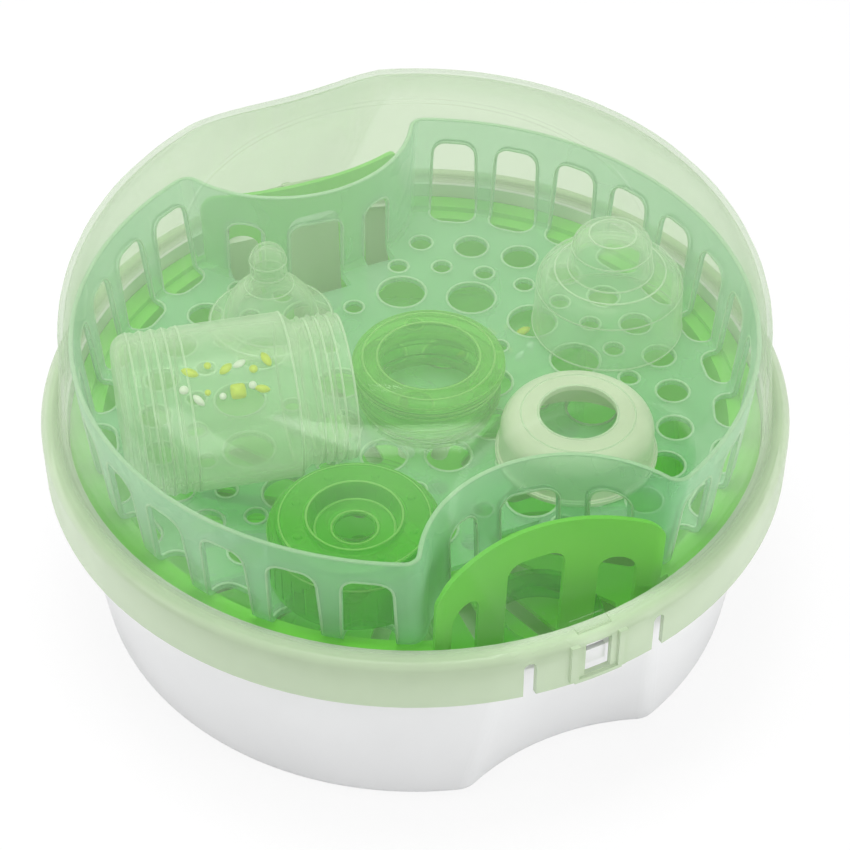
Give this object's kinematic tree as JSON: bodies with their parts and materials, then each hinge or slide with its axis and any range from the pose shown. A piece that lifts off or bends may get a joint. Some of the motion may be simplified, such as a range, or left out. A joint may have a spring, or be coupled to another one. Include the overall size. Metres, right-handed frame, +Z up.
{
  "type": "microwave steam sterilizer",
  "caption": "Round microwave steam sterilizer: white bowl, green basket, perforated slotted rack, clear clip-on lid with hand bays, and feeding pieces inside.",
  "frame": {"origin": "on the floor, under the middle of the base", "axes": "+Z up; the hand bays and clips face -Y and +Y, the -Y one being the picture's front"},
  "size_m": [0.28, 0.2824, 0.1639],
  "materials": {
    "white_plastic": "smooth moulded polypropylene",
    "green_plastic": "satin moulded polypropylene",
    "milky_plastic": "milky, half-clear polypropylene",
    "clear_plastic": "clear polypropylene, faintly green",
    "bottle_plastic": "clear polypropylene",
    "silicone": "clear soft silicone",
    "ring_green": "moulded polypropylene",
    "ring_cream": "moulded polypropylene",
    "ring_bright": "moulded polypropylene",
    "disc_green": "moulded polypropylene",
    "hood_plastic": "clear polypropylene"
  },
  "bodies": {
    "base": {"base": "white_plastic"},
    "basket": {"basket": "green_plastic", "lower_bottle_right": "bottle_plastic", "lower_bottle_front": "bottle_plastic", "lower_bottle_left": "bottle_plastic", "lower_bottle_back": "bottle_plastic", "lower_ring": "ring_green"},
    "rack": {"rack": "milky_plastic", "upper_bottle": "bottle_plastic", "teat": "silicone", "screw_ring_lower": "ring_green", "screw_ring_upper": "ring_green", "cream_ring": "ring_cream", "front_ring": "ring_bright", "sealing_disc": "disc_green", "bottle_hood": "hood_plastic"},
    "lid": {"lid": "clear_plastic"}
  },
  "joints": [
    {"name": "basket_lift", "type": "slide", "parent": "base", "child": "basket", "axis": [0, 0, 1], "range_m": [0, 0.09]},
    {"name": "rack_lift", "type": "slide", "parent": "basket", "child": "rack", "axis": [0, 0, 1], "range_m": [0, 0.05]},
    {"name": "lid_lift", "type": "slide", "parent": "rack", "child": "lid", "axis": [0, 0, 1], "range_m": [0, 0.09]}
  ]
}
